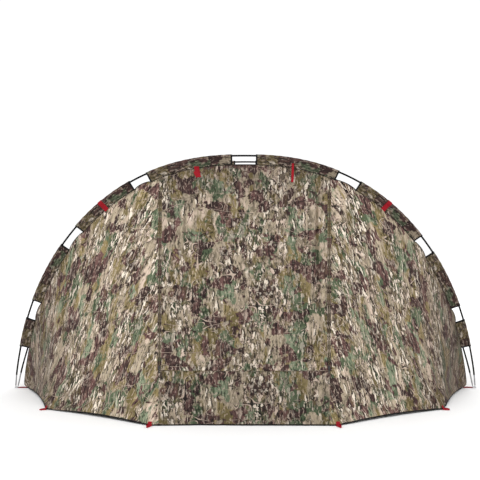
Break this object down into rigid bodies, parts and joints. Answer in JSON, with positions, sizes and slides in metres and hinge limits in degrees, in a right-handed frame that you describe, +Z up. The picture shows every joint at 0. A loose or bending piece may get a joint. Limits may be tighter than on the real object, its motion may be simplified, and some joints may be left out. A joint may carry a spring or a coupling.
{
  "type": "ground blind",
  "caption": "Pole-framed camouflage ground blind: two bent hoops on shared feet, a closed cloth shell, a zipped roll-up door, sleeves and peg loops.",
  "frame": {"origin": "on the ground under the middle of the whole blind's box", "axes": "+Z up, +X to the right seen from the front, the door faces -Y"},
  "size_m": [3.042, 2.6235, 1.5085],
  "materials": {
    "camo_cloth": "matte",
    "sleeve_cloth": "matte",
    "red_webbing": "matte",
    "zip_tape": "matte",
    "pole_black": "satin",
    "tip_metal": "satin",
    "slider_metal": "satin"
  },
  "bodies": {
    "front_frame": {"door_header": "camo_cloth", "door_panel": "camo_cloth", "door_sill": "camo_cloth", "door_tie_left": "red_webbing", "door_tie_right": "red_webbing", "front_left_inner_peg_loop": "red_webbing", "front_left_outer_peg_loop": "red_webbing", "front_left_panel": "camo_cloth", "front_pole_crown": "pole_black", "front_pole_left_lower": "pole_black", "front_pole_left_upper": "pole_black", "front_pole_right_lower": "pole_black", "front_pole_right_upper": "pole_black", "front_pole_tip_left": "tip_metal", "front_pole_tip_right": "tip_metal", "front_right_inner_peg_loop": "red_webbing", "front_right_outer_peg_loop": "red_webbing", "front_right_panel": "camo_cloth", "front_sleeve_left_1": "sleeve_cloth", "front_sleeve_left_2": "sleeve_cloth", "front_sleeve_left_3": "sleeve_cloth", "front_sleeve_left_4": "sleeve_cloth", "front_sleeve_right_1": "sleeve_cloth", "front_sleeve_right_2": "sleeve_cloth", "front_sleeve_right_3": "sleeve_cloth", "front_sleeve_right_4": "sleeve_cloth", "left_foot_ring": "tip_metal", "left_foot_strap": "red_webbing", "left_zip_track": "zip_tape", "right_foot_ring": "tip_metal", "right_foot_strap": "red_webbing", "right_zip_track": "zip_tape", "roof_centre_panel": "camo_cloth", "roof_left_panel": "camo_cloth", "roof_right_panel": "camo_cloth", "sleeve_tab_left": "red_webbing", "sleeve_tab_right": "red_webbing"},
    "rear_frame": {"rear_centre_panel": "camo_cloth", "rear_left_inner_peg_loop": "red_webbing", "rear_left_outer_peg_loop": "red_webbing", "rear_left_panel": "camo_cloth", "rear_pole_crown": "pole_black", "rear_pole_left": "pole_black", "rear_pole_right": "pole_black", "rear_pole_tip_left": "tip_metal", "rear_pole_tip_right": "tip_metal", "rear_right_inner_peg_loop": "red_webbing", "rear_right_outer_peg_loop": "red_webbing", "rear_right_panel": "camo_cloth", "rear_sleeve_left_1": "sleeve_cloth", "rear_sleeve_left_2": "sleeve_cloth", "rear_sleeve_left_3": "sleeve_cloth", "rear_sleeve_right_1": "sleeve_cloth", "rear_sleeve_right_2": "sleeve_cloth", "rear_sleeve_right_3": "sleeve_cloth"},
    "door_edge": {"door_hem": "zip_tape"},
    "left_zip": {"left_zip_slider": "slider_metal"},
    "right_zip": {"right_zip_slider": "slider_metal"},
    "left_pull": {"left_zip_pull": "slider_metal"},
    "right_pull": {"right_zip_pull": "slider_metal"}
  },
  "joints": [
    {"name": "rear_hoop_fold", "type": "hinge", "parent": "front_frame", "child": "rear_frame", "pos_m": [0, -0.329, 0.004], "axis": [1, 0, 0], "range_deg": [0, 28.5], "deforming": ["rear_left_panel", "rear_centre_panel", "rear_right_panel", "roof_left_panel", "roof_centre_panel", "roof_right_panel"]},
    {"name": "door_roll", "type": "slide", "parent": "front_frame", "child": "door_edge", "axis": [0, 0.3272, 0.945], "range_m": [0, 0.94], "deforming": ["door_panel"]},
    {"name": "left_zip_slide", "type": "slide", "parent": "front_frame", "child": "left_zip", "axis": [-0.0308, 0.3583, 0.9331], "range_m": [0, 1.03]},
    {"name": "right_zip_slide", "type": "slide", "parent": "front_frame", "child": "right_zip", "axis": [0.0308, 0.3583, 0.9331], "range_m": [0, 1.03]},
    {"name": "left_pull_swing", "type": "hinge", "parent": "left_zip", "child": "left_pull", "pos_m": [-0.4743, -1.1646, 0.3075], "axis": [-1, 0, 0], "range_deg": [0, 100]},
    {"name": "right_pull_swing", "type": "hinge", "parent": "right_zip", "child": "right_pull", "pos_m": [0.4743, -1.1646, 0.3075], "axis": [-1, 0, 0], "range_deg": [0, 100]}
  ],
  "couplings": [
    {"joint": "left_zip_slide", "follows": "door_roll", "ratio": 1.09},
    {"joint": "right_zip_slide", "follows": "door_roll", "ratio": 1.09}
  ]
}
